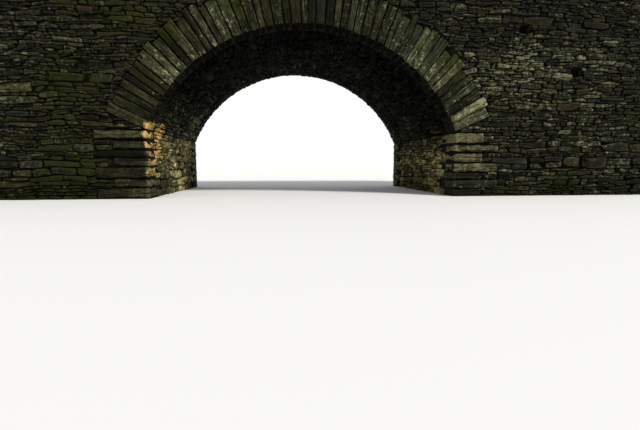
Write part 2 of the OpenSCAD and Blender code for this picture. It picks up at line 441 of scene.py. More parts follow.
FACE = Laying(
    low=0.085, high=0.205, longest=0.58, squat=1.9, slender=5.2, single=0.17, triple=0.42, thinnest=0.047)
ABUTMENT = Laying(low=0.12, high=0.21, longest=0.4, squat=1.2, slender=2.6, single=0.72, triple=0.28)
BARREL = Laying(low=0.11, high=0.2, longest=0.5, squat=2.0, slender=4.6, single=0.15, triple=0.5)
PARAPET = Laying(low=0.12, high=0.27, longest=0.7, squat=2.0, slender=4.5, single=0.3, triple=0.35)
END = Laying(low=0.16, high=0.32, longest=0.7, squat=1.8, slender=4.0, single=0.3, triple=0.3)

# Mean length of a course's blocks, and the least mean length of a row's stones, in metres
BLOCK = 0.8
SHORTEST = 0.12

# Distance to which a cut of a row is moved from one of the row below, in metres
BOND = 0.06

# Shares of the way to a point at which clip looks for an opening, and the times that it halves that way
WAY = (0.3, 0.55, 0.8, 1.0)
HALVINGS = 8

# Least width of a cell that takes a stone, in metres; a narrower one stays joint
NARROWEST = 0.03

# Most that a point of a stone's outline is drawn in along and up, as a share of its way from the middle, so
# that no outline crosses itself. A corner's two points get a little more, each along its side, and stay apart
MOST_DRAWN = np.array((0.5, 0.8))
MORE_AT_CORNERS = 0.1

# Distance from a wall's straight edges at which its joints stray in full, in metres
EDGE_FADE = 0.25

# How far a stone goes in behind the face of its joint, in metres
HIDDEN = 0.02


def splits(start, end, count, spread, rng):
    """A stretch cut at random into count parts. The greatest part is up to spread times the least."""
    parts = rng.uniform(1, spread, count)
    return start + np.concatenate([[0], np.cumsum(parts)]) * (end - start) / parts.sum()


def broken(cuts, below):
    """Cuts of a row, moved aside where one would stand over a cut of the row below. The two ends stay."""
    gap = cuts[1:-1, None] - below
    gap = gap[np.arange(len(gap)), np.abs(gap).argmin(1)]
    moved = cuts[1:-1] + np.where(gap < 0, -1, 1) * np.clip(BOND - np.abs(gap), 0, None)
    return np.sort(np.concatenate([cuts[:1], moved, cuts[-1:]]))


def lay_courses(width, height, laying, rng):
    """Cells of roughly coursed rubble, as rows of left, right, bottom and top. Courses run the whole width.
    Each is cut into blocks, each block into one, two or three rows, thinner ones towards the top of the wall,
    and each row into stones. Upright joints don't stand over each other."""
    mean_high = (laying.low + laying.high) / 2
    beds = splits(0, height, max(1, round(height / mean_high)), laying.high / laying.low, rng)
    cells = []
    below = np.array([0, width])
    for bottom, top in zip(beds[:-1], beds[1:]):
        rise = bottom / height
        single, triple = laying.single * (1 - 0.7 * rise), laying.triple * (0.5 + 0.5 * rise)
        ends = broken(splits(0, width, max(1, round(width / BLOCK)), 3.5, rng), below)
        topmost = []
        for left, right in zip(ends[:-1], ends[1:]):
            row_below = below
            rows = rng.choice([1, 2, 3], p=[single, 1 - single - triple, triple])
            rows = min(rows, max(1, int((top - bottom) / laying.thinnest)))
            levels = splits(bottom, top, rows, 3.0, rng)
            for under, over in zip(levels[:-1], levels[1:]):
                mean = rng.uniform(laying.squat, laying.slender) * (over - under)
                parts = max(1, round((right - left) / np.clip(mean, SHORTEST, laying.longest)))
                cuts = broken(splits(left, right, parts, 3.2, rng), row_below)
                cells.append(np.stack([cuts[:-1], cuts[1:], 0 * cuts[1:] + under, 0 * cuts[1:] + over], 1))
                row_below = cuts
            topmost.append(row_below)
        below = np.concatenate(topmost)
    return np.concatenate(cells)


def area(u, v):
    """Area inside each closed outline, from the sum of its points' cross products."""
    return 0.5 * np.abs((u * np.roll(v, -1, -1) - v * np.roll(u, -1, -1)).sum(-1))


def clip(u, v, depth):
    """Draws outlines in to the edge of an opening. depth is positive inside it. Each point is brought, by
    halving the way, towards the mean of its stone's points outside, until the whole way between them is
    clear. Says also which stones have such a mean."""
    out = depth(u, v) < 0
    share = out / np.maximum(out.sum(1, keepdims=True), 1)
    mu, mv = (u * share).sum(1, keepdims=True), (v * share).sum(1, keepdims=True)

    def clear(reach):
        """Whether a point at this share of its way, and those before it, lie outside the opening."""
        du, dv = (u - mu) * reach, (v - mv) * reach
        return np.all([depth(mu + du * part, mv + dv * part) < 0 for part in WAY], axis=0)

    near, far = np.zeros_like(u), np.ones_like(u)
    for _ in range(HALVINGS):
        middle = (near + far) / 2
        free = clear(middle)
        near, far = np.where(free, middle, near), np.where(free, far, middle)
    reach = np.where(clear(np.ones_like(u)), 1, near)
    sound = (out.sum(1) > 2) & (depth(mu, mv)[:, 0] < 0)
    return mu + (u - mu) * reach, mv + (v - mv) * reach, sound


def rubble(size, laying, place, seed, face=(-1.3, 1), wander=1.0, warp=None, depth=None, tone_and_painted_light_at=None,
           algae_at=None):
    """Stones of one wall, as arrays with a row for each stone. size is the wall's width and height, warp
    bends its flat coordinates, depth says how far a place lies inside an opening, and place turns the two
    coordinates and the height over the wall's plane into points. face is the least and the most height of a
    stone's face, in units of the unevenness. Each stone is an irregular outline in three rings: deep in the
    joint, at the broken edge, and on the face."""
    sizes = bpy.context.scene.stonework
    rng = np.random.default_rng(seed)
    cells = lay_courses(*size, laying, rng).reshape(-1, 2, 2)
    count = len(cells)
    half = np.ptp(cells, 2)[:, None] / 2
    tall = half[..., 1:]
    share, radii = outline(4, 2)
    around = len(share)
    inner = np.maximum(half - sizes.joint / 2 * rng.uniform(0.1, 1.2, (count, 1, 1)), 0.3 * half)
    corner = np.sign(share)
    off = np.abs(share[:, 0])
    cut = rng.gamma(1.3, 0.13, (count, around, 1)) * tall
    at = (slice(None), *(corner.T > 0).astype(int))
    skew, wedge = (rng.gamma(shape, 0.24, (count, 2, 2))[at] for shape in (1.0, 0.55))
    pull = np.stack([skew * off ** 3, np.minimum(wedge, 0.6) * off], -1) * tall
    chips = np.abs(rng.normal(0, 0.1, (count, around, 2))) * tall
    drawn = radii * np.minimum(cut, 0.7 * tall) - corner * (pull + chips)
    most = inner * np.abs(share) * (MOST_DRAWN + MORE_AT_CORNERS * np.abs(radii))
    local = share * inner + np.clip(drawn, -most, most)
    squat = np.minimum(half[..., 1] / np.maximum(half[..., 0], NARROWEST / 2), 1)
    turn = rng.normal(0, 0.05, (count, 1)) * squat
    local = local + np.stack([-local[..., 1] * turn, local[..., 0] * turn], -1)
    flat = cells.mean(2)[:, None] + local
    stray = np.stack([ripple(flat, 1.1, seed + 1) + 0.5 * ripple(flat, 0.3, seed + 5),
                      0.9 * ripple(flat, 1.5, seed + 2) + 0.55 * ripple(flat, 0.38, seed + 3)], -1)
    fade = smooth_step(0, EDGE_FADE, flat) * smooth_step(0, EDGE_FADE, np.array(size) - flat)
    flat = np.clip(flat + sizes.wander * wander * stray * fade, 0, size)
    u, v = np.moveaxis(flat, -1, 0)
    if warp:
        u, v = warp(u, v)
    stay = half[:, 0, 0] > NARROWEST / 2
    if depth:
        whole = area(u, v)
        u, v, sound = clip(u, v, lambda a, b: depth(a, b) + 0.5 * sizes.joint)
        stay = stay & sound & (area(u, v) > 0.25 * whole)
    u, v = u[stay], v[stay]
    count = len(u)
    mu, mv = (0.5 * ((x.max(1) + x.min(1))[:, None] / 2 + x.mean(1, keepdims=True)) for x in (u, v))
    edge = sizes.bevel * rng.uniform(0.5, 1.6, (count, 1))
    in_u, in_v = (1 - np.minimum(edge / np.ptp(x, 1)[:, None] * 2, 0.4) for x in (u, v))
    du, dv = u - mu, v - mv
    tilt = rng.normal(0, 0.045, (count, 2))
    lean = np.clip(du * tilt[:, :1] + dv * tilt[:, 1:] * 3, -0.012, 0.012)
    relief = 0.35 * np.minimum(sizes.bevel, np.ptp(v, 1)[:, None] / 2)
    face_w = sizes.unevenness * rng.uniform(*face, (count, 1)) + lean
    ws = np.stack([0 * u - sizes.recess - HIDDEN, face_w - relief * rng.uniform(1.2, 3.4, (count, around)),
                   face_w - relief * rng.uniform(0, 1.2, (count, around))], 1)
    rings = np.stack([u, u, mu + du * in_u], 1), np.stack([v, v, mv + dv * in_v], 1), np.minimum(ws, PROUD)
    us, vs, ws = (with_poles(ring) for ring in rings)
    points = place(us, vs, ws)
    each = np.ones_like(us)
    middle = points.mean(1, keepdims=True)
    tone = rng.beta(1.4, 1.9, count)[:, None] + (tone_and_painted_light_at(mu, mv) if tone_and_painted_light_at else 0)
    algae = 0.25 * ripple(points, 1.7, seed + 4) + 0.15 * rng.uniform(-1, 1, (count, 1))
    return {
        "points": points, "grain": np.stack([us, vs], -1) + rng.uniform(0, 50, (count, 1, 2)),
        "tone": np.clip(tone, 0, 1) * each, "hue": rng.random(count)[:, None] * each,
        "edge": np.concatenate([np.repeat([0.0, 0.55, 1.0], around), [0, 0.1]]) * each,
        "algae": algae + (algae_at(middle[..., 0], middle[..., 2]) if algae_at else 0)}


def keep_stones(name, stones, slot, paint, chosen=slice(None)):
    """One mesh of the chosen stones."""
    stones = {key: value[chosen] for key, value in stones.items()}
    points, grain = stones.pop("points"), stones.pop("grain")
    faces = ring_faces(len(points), 3, (points.shape[1] - 2) // 3)
    keep(mesh_object(name, points, *faces, grain=grain, **stones), slot, paint)


def keep_core(node, slot, *moves):
    """A copy of a node with its open faces set back by the joints' recess, as the earth and lime behind the
    stones. Each move shifts some of the points. Triangles that shrink to a line when points closer than a
    hundredth of a millimetre are made one are left out."""
    points, index = np.unique(np.round(node_points(node).reshape(-1, 3), 5), axis=0, return_inverse=True)
    for move in moves:
        move(points)
    faces = index.reshape(-1, 3)
    sound = np.all(faces != np.roll(faces, 1, axis=1), axis=1)
    keep(mesh_object(f"{node}_core", points, NO_FACES, faces[sound]), slot, joint_earth(), node)


def set_back(axis, at, by):
    """A move that shifts the points within a tenth of a millimetre of a plane."""
    def move(points):
        points[np.abs(points[:, axis] - at) < 1e-4, axis] += by
    return move


def flare_holes(points):
    """Moves the walls of the front's two holes apart. The back's, at negative x, keep the solids' size."""
    for middle in HOLES:
        off = points[:, [0, 2]] - middle
        on = np.all(np.abs(off) < np.array(HOLE_SIZE) / 2 + 1e-3, axis=1)
        points[on, 0] += HOLE_FLARE * np.sign(off[on, 0])
        points[on, 2] += HOLE_FLARE * np.sign(off[on, 1])


def set_back_soffit(by):
    """A move that shifts the points within two millimetres of the soffit's circle away from its centre."""
    def move(points):
        out = points[:, [0, 2]] - (0, CENTRE_Z)
        radius = np.hypot(out[:, 0], out[:, 1])
        on = np.abs(radius - SOFFIT_R) < 2e-3
        points[on, 0] += by * (out[:, 0] / radius)[on]
        points[on, 2] += by * (out[:, 1] / radius)[on]
    return move


def across_bridge(way, at):
    """A way to place a wall that stands across the bridge at x = way * at, and looks along x the way that it
    says: w is added to at, u is counted from the edge at way * FACE_Y, and v is the height."""
    def place(u, v, w):
        return np.stack([way * (at + w), way * (u + FACE_Y), v], -1)
    return place


# What the rubble keeps clear of

def ring_tips():
    """Angles between the slabs of the ring, from the right to the left, and the outer radius of each slab."""
    ring = node_blocks("front_arch_ring", by_ring)
    ring = ring[np.argsort(by_ring(ring)[..., 1].mean((1, 2, 3)))]
    tips = by_ring(ring[:, 1].mean(2))
    return np.append(tips[:, 0, 1], tips[-1, 1, 1]), tips[..., 0].mean(1)


def quoin_table(node):
    """For each course of a stack of corner stones, from the lowest: its top, its end on the face, and its end
    under the arch, in metres from the middle of the bridge."""
    corners = node_blocks(node, by_length).reshape(-1, 8, 3)
    corners = corners[np.argsort(corners[:, :, 2].mean(1))]
    return corners[:, :, 2].max(1), np.abs(corners[:, :, 0]).max(1), np.abs(corners[:, :, 1]).min(1)


TIP_ANGLES, TIP_RADII = ring_tips()
QUOINS = {side: quoin_table(f"front_{side}_quoins") for side, _ in SIDES}


def quoin_at(side, v, column):
    """The end of the corner stone at height v: on the face in column 1, and under the arch in column 2."""
    tops = QUOINS[side][0]
    return QUOINS[side][column][np.clip(np.searchsorted(tops, v), 0, len(tops) - 1)]


def in_ring(x, z):
    """Depth inside the ring and the arch: the least distance to the slabs' ends and the two skewbacks."""
    height = z - CENTRE_Z
    radius, angle = np.hypot(x, height), np.arctan2(height, x)
    slab = np.clip(np.searchsorted(TIP_ANGLES, angle) - 1, 0, len(TIP_RADII) - 1)
    right = radius * np.sin(angle - SPRING_ANGLE)
    left = radius * np.sin(math.pi - SPRING_ANGLE - angle)
    return np.minimum(TIP_RADII[slab] - radius, np.minimum(left, right))


def in_corners(x, z):
    """Depth inside the corner stones and the opening between them."""
    end = np.where(x < 0, quoin_at("left", z, 1), quoin_at("right", z, 1))
    return np.minimum(end - np.abs(x), SPRINGING - z)


def in_holes(x, z):
    """Depth inside the nearer of the two holes."""
    half_w, half_h = (size / 2 + HOLE_FLARE for size in HOLE_SIZE)
    return np.maximum(*(np.minimum(half_w - np.abs(x - a), half_h - np.abs(z - b)) for a, b in HOLES))


def in_openings(x, z):
    """Depth inside whatever interrupts a face wall: the greatest of the three."""
    return np.maximum(in_ring(x, z), np.maximum(in_corners(x, z), in_holes(x, z)))


# Heights between which the courses go from level to the road's hump, in metres
BEND = (2.9, 4.7)


def face_height(x, v):
    """Height over the base of the course line v at x: level low down, and with the road's hump at the top."""
    return v + (road_z(x) - ROAD_TOP) * smooth_step(*BEND, v)


# Materials

class Wave:
    """A number socket, so that sums and products of sockets can be written as expressions."""

    def __init__(self, paint, socket):
        self.paint = paint
        self.socket = socket

    def maths(self, operation, *numbers):
        """The result of a Math node on one or two numbers."""
        return self.paint.number(
            "ShaderNodeMath", {"operation": operation}, dict(zip(("Value", "Value_001"), numbers)))

    def __add__(self, other):
        return self.maths("ADD", self, other)

    def __radd__(self, other):
        return self.maths("ADD", other, self)

    def __sub__(self, other):
        return self.maths("SUBTRACT", self, other)

    def __rsub__(self, other):
        return self.maths("SUBTRACT", other, self)

    def __mul__(self, other):
        return self.maths("MULTIPLY", self, other)

    def __rmul__(self, other):
        return self.maths("MULTIPLY", other, self)

    def __abs__(self):
        return self.maths("ABSOLUTE", self)


class Nodes:
    """The nodes of a material or of the world."""

    def __init__(self, owner):
        owner.use_nodes = True
        self.owner = owner
        self.tree = owner.node_tree

    def fill(self, node, values):
        """Links the named sockets of a node to others, or gives them plain values."""
        for key, value in values.items():
            socket = next(s for s in node.inputs if s.identifier == key)
            if isinstance(value, Wave):
                value = value.socket
            if isinstance(value, bpy.types.NodeSocket):
                self.tree.links.new(value, socket)
            else:
                socket.default_value = value
        return node

    def add(self, kind, settings=None, values=None):
        """A node of a kind, with its settings made first and then its sockets filled."""
        node = self.tree.nodes.new(kind)
        for key, value in (settings or {}).items():
            setattr(node, key, value)
        return self.fill(node, values or {})

    def number(self, kind, settings=None, values=None, output=0):
        """A number that a node of a kind gives."""
        return Wave(self, self.add(kind, settings, values).outputs[output])


class Finish(Nodes):
    """A material under construction."""

    def __init__(self, name):
        super().__init__(bpy.data.materials.new(name))
        self.place = self.add("ShaderNodeTexCoord").outputs["Object"]
        self.colour = None

    def noise(self, scale, detail=3.0, roughness=0.55, at=None):
        """Noise from 0 to 1, with about scale swells to a metre and finer ones over them."""
        return self.number("ShaderNodeTexNoise", None, {
            "Vector": at or self.place, "Scale": scale, "Detail": detail, "Roughness": roughness})

    def value(self, name):
        """A value that the piece carries at its points."""
        return self.number("ShaderNodeAttribute", {"attribute_name": name}, output="Fac")

    def part(self, vector, axis):
        """One of the three numbers of a vector."""
        return self.number("ShaderNodeSeparateXYZ", None, {"Vector": vector}, axis)

    def step(self, value, low, high):
        """A smooth step from 0 at low to 1 at high."""
        return self.number("ShaderNodeMapRange", {"interpolation_type": "SMOOTHSTEP"}, {
            "Value": value, "From Min": low, "From Max": high})

    def blend(self, below, above, factor, how="MIX"):
        """The colour above laid over the one below, as far as the factor says."""
        node = self.add("ShaderNodeMix", {"data_type": "RGBA", "blend_type": how}, {
            "Factor_Float": factor, "A_Color": below, "B_Color": above})
        return next(s for s in node.outputs if s.identifier == "Result_Color")

    def lay(self, above, factor, how="MIX"):
        """Blends a colour over the material's colour so far."""
        self.colour = self.blend(self.colour, above, factor, how)

    def stretched(self, *scale):
        """The piece's own grain map, stretched so that its lines run along the cleavage."""
        uv = self.add("ShaderNodeUVMap", {"uv_map": "Grain"}).outputs[0]
        return self.add("ShaderNodeMapping", None, {"Vector": uv, "Scale": (*scale, 1.0)}).outputs[0]

    def finish(self, roughness, height, strength, distance, gloss):
        """Feeds the shader. gloss is its level of mirror-like reflection, the same all over the surface."""
        bump = self.add("ShaderNodeBump", None, {
            "Strength": strength, "Distance": distance, "Height": height})
        self.fill(self.tree.nodes["Principled BSDF"], {
            "Specular IOR Level": gloss, "Base Color": self.colour, "Roughness": roughness,
            "Normal": bump.outputs[0]})
        return self.owner


# What multiplies the colour in the painted shade under the arch, and of stone at the damp foot of every wall
PAINTED_SHADE_COLOUR = (0.028, 0.03, 0.036, 1.0)
DAMP = (0.6, 0.6, 0.58, 1.0)

# Distance of the wheel tracks from the middle of the road, in metres
TRACK = 0.75


def slate(name, tint, lichen, algae, gloss=0.05, streaks=0.5, rusty=0.4, cleavage=24.0, grit=1.2):
    """Split slate: a tone for each stone with clouds, mottles and cleavage lines over it, rusty and blue
    stones, worn edges, crusts of lichen, and green where the piece's own map of algae and noise together
    pass a level. tint multiplies the colour. lichen and algae lower the levels from which they grow. streaks,
    rusty and grit are the strengths of the cleavage lines, the rust and the mottles. cleavage is how many
    swells to a metre the noise of the open splits has."""
    colours = bpy.context.scene.stone_colours
    paint = Finish(name)
    cloud = paint.noise(5.0, 4.0, 0.6)
    mottle = paint.noise(17.0, 6.0, 0.7)
    broad = paint.noise(0.8, 3.0)
    speck = paint.noise(75.0, 3.0, 0.65)
    layers = paint.noise(1.0, 5.0, 0.65, at=paint.stretched(3.0, 42.0))
    split = paint.step(paint.noise(1.0, 2.0, 0.5, at=paint.stretched(1.4, cleavage)), 0.45, 0.37)
    level = paint.value("tone") + cloud * 0.9 + mottle * grit + speck * 0.6 + broad * 0.5 - 1.17 - 0.5 * grit
    level = level + (layers - 0.5) * streaks
    paint.colour = paint.blend(colours.dark, colours.middle, paint.step(level, 0.0, 0.45))
    paint.lay(colours.pale, paint.step(level, 0.45, 1.0))
    hue = paint.value("hue")
    rust = paint.step(hue + cloud * 0.35, 0.88, 1.2) * rusty
    blue = paint.step(hue + cloud * 0.2, 0.42, 0.12) * 0.28
    paint.lay(colours.warm, rust)
    paint.lay(colours.cool, blue)
    worn = paint.step(paint.value("edge") + speck * 0.5, 0.95, 1.5) * 0.22
    paint.lay(colours.pale, worn)
    crust = paint.noise(9.0, 6.0, 0.75)
    crusted = crust + broad * 0.3 + paint.value("tone") * 0.12
    lichen_mask = paint.step(crusted, 0.86 - 0.16 * lichen, 0.96 - 0.16 * lichen)
    paint.lay(colours.lichen, lichen_mask * (0.35 + speck * 0.5))
    paint.lay(colours.dark, split * 0.85)
    level_top = paint.part(paint.add("ShaderNodeNewGeometry").outputs["Normal"], 2)
    growth = paint.value("algae") + paint.noise(2.2, 5.0, 0.65) * 0.9 + level_top * 0.18
    growth = growth + (layers - 0.5) * streaks * 0.4
    green_mask = paint.step(growth, 0.86 - 0.42 * algae, 1.16 - 0.42 * algae)
    fleck = paint.noise(40.0, 4.0, 0.7)
    green = paint.blend(colours.algae, linear("#151808"), paint.step(fleck, 0.35, 0.7))
    paint.lay(green, green_mask * 0.7)
    paint.lay((*tint, 1.0), 1.0, "MULTIPLY")
    # Painted shade under the arch, a little uneven with the mottles
    shaded = paint.value("painted_shade") * (1.1 - mottle * 0.2)
    paint.lay(PAINTED_SHADE_COLOUR, shaded, "MULTIPLY")
    up = paint.part(paint.place, 2)
    paint.lay(DAMP, paint.step(up - cloud * 0.4, 0.3, -0.05), "MULTIPLY")
    # Painted sunlight: a mottled yellow patch on the left corner under the arch, buff lower down
    crusty = paint.step(paint.value("crust") * 0.6 + crust * 0.9 + mottle * 1.2 + speck * 0.7, 1.7, 1.95)
    painted_sunlight = paint.blend(colours.painted_sunlight_low, colours.painted_sunlight, paint.step(up + mottle * 1.2, 1.75, 2.2))
    paint.lay(painted_sunlight, crusty * 0.92)
    height = layers * 0.7 + cloud * 0.4 + mottle * 0.4 + speck * 0.3 - split * 0.6 + green_mask * fleck * 0.5
    roughness = 0.9 - cloud * 0.24 + green_mask * 0.08 + shaded * 0.1
    return paint.finish(roughness, height, 0.9, 0.018, gloss)


def joint_earth():
    """Earth and perished lime deep in the joints."""
    if "joint_earth" in bpy.data.materials:
        return bpy.data.materials["joint_earth"]
    colours = bpy.context.scene.stone_colours
    paint = Finish("joint_earth")
    cloud = paint.noise(9.0, 5.0, 0.65)
    paint.colour = paint.blend(colours.joint, linear("#232119"), paint.step(cloud, 0.45, 0.75))
    paint.lay(colours.algae, paint.step(paint.noise(1.7, 4.0), 0.58, 0.7) * 0.4)
    return paint.finish(0.95 - cloud * 0.1, cloud + paint.noise(60.0) * 0.4, 0.7, 0.015, 0.05)


def broken_stone():
    """The road's surface: small broken stones in earth, worn paler and smoother in two wheel tracks."""
    colours = bpy.context.scene.stone_colours
    paint = Finish("broken_stone")
    cells = paint.add("ShaderNodeTexVoronoi", None, {"Vector": paint.place, "Scale": 26.0})
    stones = Wave(paint, cells.outputs["Distance"])
    tone = paint.number("ShaderNodeSeparateColor", None, {"Color": cells.outputs["Color"]})
    side = abs(paint.part(paint.place, 1))
    cloud = paint.noise(1.6, 5.0, 0.6)
    track = paint.step(abs(side - TRACK) + cloud * 0.3 - 0.15, 0.42, 0.12)
    gravel = paint.blend(linear("#4c463a"), colours.road, paint.step(tone * 0.6 + cloud * 0.5, 0.2, 0.8))
    paint.colour = paint.blend(linear("#38322a"), gravel, paint.step(stones, 0.62, 0.4))
    paint.lay(linear("#968f7f"), track * 0.2)
    edge = paint.step(side + cloud * 0.5, 1.35, 1.85)
    paint.lay(colours.algae, edge * 0.75)
    height = stones * (-1.0 + track * 0.6) + cloud * 0.6
    return paint.finish(0.92 - track * 0.1, height, 0.6, 0.03, 0.1)


# Operators

# Distance out from the soffit over which the ring's slabs get greener, in metres
GREENER = 0.8


class BuildArchRing(bpy.types.Operator):
    """Split slate slabs of both face rings, and the earth in their joints"""
    bl_idname = "bridge.arch_ring"
    bl_label = "Arch ring"

    def execute(self, context):
        paint = slate("ring_slate", (1.08, 1.12, 0.9), lichen=0.6, algae=0.44, gloss=0.02, streaks=2.2,
                      rusty=0.15, cleavage=34.0)
        for (face, way), seed in zip(FACES, (100, 200)):
            # The slabs' undersides get painted shade under the arch
            keep_blocks(
                f"{face}_ring_slabs", f"{face}_arch_ring", by_ring, "ring_slate", paint, seed, stations=16,
                around=(5, 4), bevel=0.008, relief=(0.02, 0.013, 0.034), shaded=True, tone=self.crown_shade,
                hue=self.warm_left, algae=self.wet_ends, crust=ochre_crust)
            keep_packing(f"{face}_ring_joints", "ring_slate", self.rings(way, context.scene.stonework.recess))
        return {"FINISHED"}

    def over_arch(self, points):
        """1 over the middle of the arch, and 0 towards its ends."""
        return smooth_step(2.2, 0.9, np.abs(points[..., 0]))

    def crown_shade(self, points):
        """Darker slabs over the middle of the arch and on the left."""
        return -0.3 * self.over_arch(points) - 0.24 * smooth_step(-1.5, -3.0, points[..., 0])

    def warm_left(self, points):
        """Fewer blue slabs and more rusty ones on the left."""
        return 0.22 * smooth_step(0.9, -0.3, points[..., 0])

    def wet_ends(self, points):
        """More algae over the middle of the arch, and towards the slabs' outer ends, under the damp fill."""
        outwards = (np.hypot(points[..., 0], points[..., 2] - CENTRE_Z) - SOFFIT_R) / GREENER
        return 0.32 * outwards - 0.12 + 0.12 * self.over_arch(points)

    def rings(self, way, recess):
        """A rectangle of radius and depth, carried round the arch's circle from just under one springing to
        just under the other."""
        share = SQUARE[::way]
        radius = np.array([SOFFIT_R + SOFFIT_JOINT, TIP_RADII.min() - recess])[share[:, 0]]
        depth = DEEPER * recess if way > 0 else BACK_JOINT
        y = way * np.array([FACE_Y + depth, INNER_Y])[share[:, 1]]
        start = SPRING_ANGLE - 0.015
        angle = np.linspace(start, math.pi - start, 60)[:, None]
        return np.stack([radius * np.cos(angle), y + 0 * angle, CENTRE_Z + radius * np.sin(angle)], -1)


# How much paler the corner stones are painted under the arch than on the face, as painted light in the shade
# there
PAINTED_LIGHT_ON_RETURNS = {
    ("front", "left"): 0.35, ("front", "right"): 0.35, ("back", "left"): 0.9, ("back", "right"): 0.5}


class BuildCornerStones(bpy.types.Operator):
    """Long flat corner stones of both abutments, and the earth in their joints"""
    bl_idname = "bridge.corner_stones"
    bl_label = "Corner stones"

    def execute(self, context):
        # The tint darkens the corner stones below the walls' slate, as painted shade on their faces
        paint = slate("corner_slate", (0.66, 0.63, 0.46), lichen=0.55, algae=0.4, streaks=1.4)
        for seed, ((face, way), (side, end)) in enumerate(itertools.product(FACES, SIDES), 300):

            def painted_light_on_returns(points, most=PAINTED_LIGHT_ON_RETURNS[face, side]):
                """Painted light: paler on the stones' ends under the arch, as the abutments are."""
                return most * smooth_step(HALF_SPAN + 0.06, HALF_SPAN + 0.02, np.abs(points[..., 0]))

            name, node = f"{face}_{side}_quoin", f"{face}_{side}_quoins"
            keep_blocks(
                f"{name}_stones", node, by_length, "corner_slate", paint, seed, stations=14, around=(5, 6),
                bevel=0.012, relief=(0.02, 0.036, 0.024), crust=ochre_crust, tone=painted_light_on_returns)
            rings = self.rings(node, way, end, context.scene.stonework.recess)
            keep_packing(f"{name}_joints", "corner_slate", rings)
        return {"FINISHED"}

    def rings(self, node, way, end, recess):
        """A rectangle carried from the lowest to the highest of the stones, and set back from their faces."""
        points = node_points(node)
        depth = np.array([DEEPER * recess, DEEPER * recess if way > 0 else BACK_JOINT, 0])
        low, high = points.min((0, 1)) + depth, points.max((0, 1)) - depth
        high[2] = SPRINGING
        inner = low if end > 0 else high
        inner[0] = end * (HALF_SPAN + SOFFIT_JOINT)
        x, y = np.where(SQUARE, high[:2], low[:2]).T
        return np.stack(np.broadcast_arrays(x, y, np.array([[low[2]], [high[2]]])), -1)


class BuildCoping(bpy.types.Operator):
    """Rough stones on edge along both parapets"""
    bl_idname = "bridge.coping"
    bl_label = "Coping"

    def execute(self, context):
        paint = slate("coping_slate", (1.2, 1.2, 1.1), lichen=0.85, algae=0.6, grit=2.4)
        for seed, ((face, _), (side, _)) in enumerate(itertools.product(FACES, SIDES), 400):
            node = f"{face}_{side}_coping"
            keep_blocks(
                f"{node}_stones", node, by_height, "coping_slate", paint, seed, stations=5, around=(4, 6),
                bevel=0.016, relief=(0.03, 0.012, 0.035), algae=lambda points: 0.1)
        return {"FINISHED"}


class BuildFaceWalls(bpy.types.Operator):
    """Coursed rubble of the spandrels, wing walls and parapets on both faces"""
    bl_idname = "bridge.face_walls"
    bl_label = "Face walls"

    def execute(self, context):
        sizes = context.scene.stonework
        paint = slate("wall_slate", (0.74, 0.75, 0.63), lichen=0.65, algae=0.55, grit=4.0)

        def warp(u, v):
            """Counts x from the middle of the bridge, and bends the courses."""
            x = u - HALF_LENGTH
            return x, face_height(x, v)

        for face, way in FACES:

            def place(x, z, w, way=way):
                """Stands the wall on its face, with w outwards. The back is the front turned half round."""
                return np.stack([way * x, way * (FACE_Y - w), z], -1)

            def tone_and_painted_light_at(x, z, way=way):
                """Paler where the front's stones are bare low on the right, and darker elsewhere, most of all
                at the top, where a shadow of plants is painted.
                """
                patch = np.exp(-((x - 4.3) / 1.4) ** 2 - ((z - 2.45) / 0.5) ** 2) * (way > 0)
                return 0.5 * patch - 0.2 - 0.15 * smooth_step(2.8, 3.5, z)

            def algae_at(x, z, way=way):
                """Greener on the front's left, at the foot and at the top."""
                left = smooth_step(-1.0, -4.5, x) if way > 0 else 0.5
                return 0.24 * left + 0.22 * smooth_step(0.9, 0.0, z) + 0.1 * smooth_step(4.2, 5.3, z)

            stones = rubble((2 * HALF_LENGTH, ROAD_TOP + PARAPET_H), FACE, place, sizes.seed * 100 + 10 * way,
                            warp=warp, depth=in_openings, tone_and_painted_light_at=tone_and_painted_light_at, algae_at=algae_at)
            middle = stones["points"][..., 0].mean(1)
            for side, end in SIDES:
                keep_stones(f"{face}_{side}_wall_stones", stones, "wall_rubble", paint, end * middle > 0)
                front = set_back(1, way * FACE_Y, way * sizes.recess)
                inner = set_back(1, way * INNER_Y, -way * sizes.recess)
                last = set_back(0, end * HALF_LENGTH, -end * sizes.recess)
                keep_core(f"{face}_{side}_spandrel", "wall_rubble", front, flare_holes)
                keep_core(f"{face}_{side}_wing_wall", "wall_rubble", front, last, flare_holes)
                keep_core(f"{face}_{side}_parapet", "wall_rubble", front, inner, last)
        return {"FINISHED"}


class BuildParapetBacks(bpy.types.Operator):
    """Rubble on the road side of both parapets, in courses that follow the road"""
    bl_idname = "bridge.parapet_backs"
    bl_label = "Parapet backs"

    def execute(self, context):
        seed = context.scene.stonework.seed * 100 + 20
        for face, way in FACES:

            def place(u, v, w, way=way):
                """Stands the wall on the road, with w towards the middle of the road."""
                x = way * (HALF_LENGTH - u)
                return np.stack([x, way * (INNER_Y + w), road_z(x) + v], -1)

            stones = rubble((2 * HALF_LENGTH, PARAPET_H), PARAPET, place, seed + way)
            paint = bpy.data.materials["wall_slate"]
            keep_stones(f"{face}_parapet_back_stones", stones, "wall_rubble", paint)
        return {"FINISHED"}


